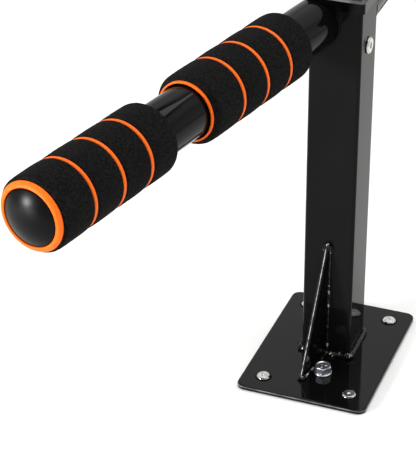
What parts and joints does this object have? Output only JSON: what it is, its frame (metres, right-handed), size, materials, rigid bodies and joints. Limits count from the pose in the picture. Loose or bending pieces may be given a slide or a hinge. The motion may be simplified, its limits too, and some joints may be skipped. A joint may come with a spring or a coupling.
{
  "type": "pull up bar",
  "caption": "Bracket-mounted pull-up bar: a round bar between posts on base plates, with angled outer handles in ringed foam grips.",
  "frame": {"origin": "on the mounting plane of the two base plates, under the middle of the whole object", "axes": "+Z away from the surface the plates are fixed to, +Y along the bar, -X the side the handles lean to"},
  "size_m": [0.1652, 1.3072, 0.315],
  "materials": {
    "black_paint": "gloss",
    "black_plastic": "satin gloss",
    "black_foam": "matt closed-cell foam",
    "orange_foam": "matt closed-cell foam",
    "zinc": "bright zinc plate"
  },
  "bodies": {
    "root": {"crossbar": "black_paint", "left_base_plate": "black_paint", "left_cross_bolt": "zinc", "left_cross_nut": "zinc", "left_dome_cap": "black_plastic", "left_gusset": "black_paint", "left_handle_tube": "black_paint", "left_hex_bolt": "zinc", "left_hex_washer": "zinc", "left_inner_grip_end_ring": "orange_foam", "left_inner_grip_foam": "black_foam", "left_inner_grip_ring_1": "orange_foam", "left_inner_grip_ring_2": "orange_foam", "left_inner_grip_ring_3": "orange_foam", "left_mount_screw_1": "zinc", "left_mount_screw_2": "zinc", "left_mount_screw_3": "zinc", "left_mount_screw_4": "zinc", "left_outer_grip_end_ring": "orange_foam", "left_outer_grip_foam": "black_foam", "left_outer_grip_ring_1": "orange_foam", "left_outer_grip_ring_2": "orange_foam", "left_outer_grip_ring_3": "orange_foam", "left_post": "black_paint", "left_post_cap": "black_plastic", "right_base_plate": "black_paint", "right_cross_bolt": "zinc", "right_cross_nut": "zinc", "right_dome_cap": "black_plastic", "right_gusset": "black_paint", "right_handle_tube": "black_paint", "right_hex_bolt": "zinc", "right_hex_washer": "zinc", "right_inner_grip_end_ring": "orange_foam", "right_inner_grip_foam": "black_foam", "right_inner_grip_ring_1": "orange_foam", "right_inner_grip_ring_2": "orange_foam", "right_inner_grip_ring_3": "orange_foam", "right_mount_screw_1": "zinc", "right_mount_screw_2": "zinc", "right_mount_screw_3": "zinc", "right_mount_screw_4": "zinc", "right_outer_grip_end_ring": "orange_foam", "right_outer_grip_foam": "black_foam", "right_outer_grip_ring_1": "orange_foam", "right_outer_grip_ring_2": "orange_foam", "right_outer_grip_ring_3": "orange_foam", "right_post": "black_paint", "right_post_cap": "black_plastic"}
  },
  "joints": []
}
